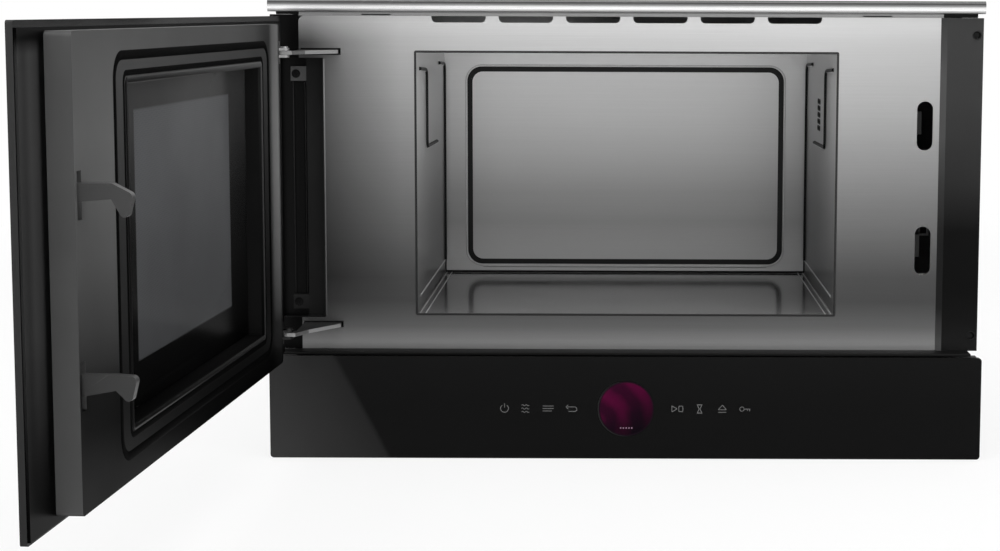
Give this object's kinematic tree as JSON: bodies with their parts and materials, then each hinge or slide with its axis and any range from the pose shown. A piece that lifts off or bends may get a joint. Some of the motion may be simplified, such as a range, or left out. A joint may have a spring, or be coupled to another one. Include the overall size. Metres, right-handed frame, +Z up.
{
  "type": "built-in microwave oven",
  "caption": "Built-in microwave oven with a side-hinged glass door standing open, a steel fascia and cavity, and a black touch control panel with a round display below.",
  "frame": {"origin": "centre of the carcass's underside", "axes": "+Z up, the front faces -Y, +X to the right seen from the front"},
  "size_m": [0.6184, 0.9227, 0.382],
  "materials": {
    "galvanised_sheet": "dull zinc",
    "brushed_front": "brushed",
    "trim_steel": "brushed along the bar",
    "black_trim": "satin",
    "channel_black": "satin",
    "pad_grey": "satin",
    "cavity_steel": "satin",
    "floor_glass": "gloss",
    "silicone": "matt",
    "duct_aluminium": "plain",
    "motor_steel": "dull",
    "board_green": "matt",
    "winding": "varnished",
    "fan_plastic": "matt",
    "duct_plastic": "matt",
    "inlet_plastic": "matt",
    "cutout_ceramic": "matt",
    "lamp_lens": "clear",
    "panel_glass": "gloss",
    "carrier_plastic": "matt",
    "display_face": "gloss",
    "sensor_foil": "plain",
    "latch_plastic": "matt",
    "lever_plastic": "matt",
    "arm_steel": "satin",
    "door_glass": "gloss",
    "door_sheet": "satin",
    "mesh_sheet": "perforated",
    "inner_glass": "gloss",
    "hook_plastic": "satin"
  },
  "bodies": {
    "carcass": {"base_plate": "galvanised_sheet", "outer_case": "galvanised_sheet", "back_plate": "galvanised_sheet", "fascia": "brushed_front", "top_trim": "trim_steel", "right_column": "black_trim", "left_column": "black_trim", "hinge_channel": "channel_black", "adjuster_pads": "pad_grey", "cavity_left": "cavity_steel", "cavity_right": "cavity_steel", "cavity_top": "cavity_steel", "cavity_back": "cavity_steel", "cavity_base": "cavity_steel", "cavity_flange": "galvanised_sheet", "ceramic_floor": "floor_glass", "floor_seal": "silicone", "stirrer_motor": "motor_steel", "waveguide": "duct_aluminium", "magnetron": "duct_aluminium", "magnetron_fins": "duct_aluminium", "inverter_board": "board_green", "inverter_transformer": "winding", "heat_sink": "duct_aluminium", "fan_housing": "fan_plastic", "fan_motor": "motor_steel", "air_duct": "duct_plastic", "filter_board": "board_green", "power_inlet": "inlet_plastic", "thermal_cutouts": "cutout_ceramic", "lamp": "lamp_lens", "control_glass": "panel_glass", "control_carrier": "carrier_plastic", "control_board": "board_green", "display": "display_face", "touch_sensors": "sensor_foil", "latch_board": "latch_plastic", "micro_switches": "inlet_plastic", "hinge_guides": "galvanised_sheet", "case_screws": "galvanised_sheet", "front_crossbar": "black_trim"},
    "hinge_arms": {"hinge_arm_upper": "arm_steel", "hinge_arm_lower": "arm_steel"},
    "door": {"door_glass": "door_glass", "door_back_sheet": "door_sheet", "door_frame": "door_sheet", "choke_cover": "door_sheet", "window_mesh": "mesh_sheet", "window_glass": "inner_glass", "hinge_brackets": "arm_steel", "hinge_pins": "arm_steel", "latch_housing": "latch_plastic", "latch_spring": "galvanised_sheet"},
    "latch": {"latch_hooks": "hook_plastic"},
    "fan": {"fan_wheel": "fan_plastic"},
    "stirrer": {"stirrer": "duct_aluminium"},
    "lever_upper": {"switch_lever_upper": "lever_plastic"},
    "lever_lower": {"switch_lever_lower": "lever_plastic"}
  },
  "joints": [
    {"name": "arm_slide", "type": "slide", "parent": "carcass", "child": "hinge_arms", "axis": [0, 1, 0], "range_m": [0, 0.0416]},
    {"name": "door_swing", "type": "hinge", "parent": "hinge_arms", "child": "door", "pos_m": [-0.276, -0.2006, 0.224], "axis": [0, 0, 1], "range_deg": [0, 93.4]},
    {"name": "latch_lift", "type": "slide", "parent": "door", "child": "latch", "axis": [0, 0, 1], "range_m": [0, 0.004], "stiffness_N_per_m": 200, "springref_m": -0.003},
    {"name": "fan_spin", "type": "hinge", "parent": "carcass", "child": "fan", "pos_m": [-0.229, 0.132, 0.196], "axis": [0, 1, 0], "continuous": true},
    {"name": "stirrer_spin", "type": "hinge", "parent": "carcass", "child": "stirrer", "pos_m": [0, -0.015, 0.1], "axis": [0, 0, 1], "continuous": true},
    {"name": "switch_lever_upper", "type": "hinge", "parent": "carcass", "child": "lever_upper", "pos_m": [0.249, -0.111, 0.2875], "axis": [1, 0, 0], "range_deg": [0, 5], "stiffness_Nm_per_rad": 0.02, "springref_deg": -2.86},
    {"name": "switch_lever_lower", "type": "hinge", "parent": "carcass", "child": "lever_lower", "pos_m": [0.249, -0.111, 0.1825], "axis": [1, 0, 0], "range_deg": [0, 5], "stiffness_Nm_per_rad": 0.02, "springref_deg": -2.86}
  ],
  "couplings": [
    {"joint": "arm_slide", "follows": "door_swing", "m_per_rad": 0.0255}
  ]
}
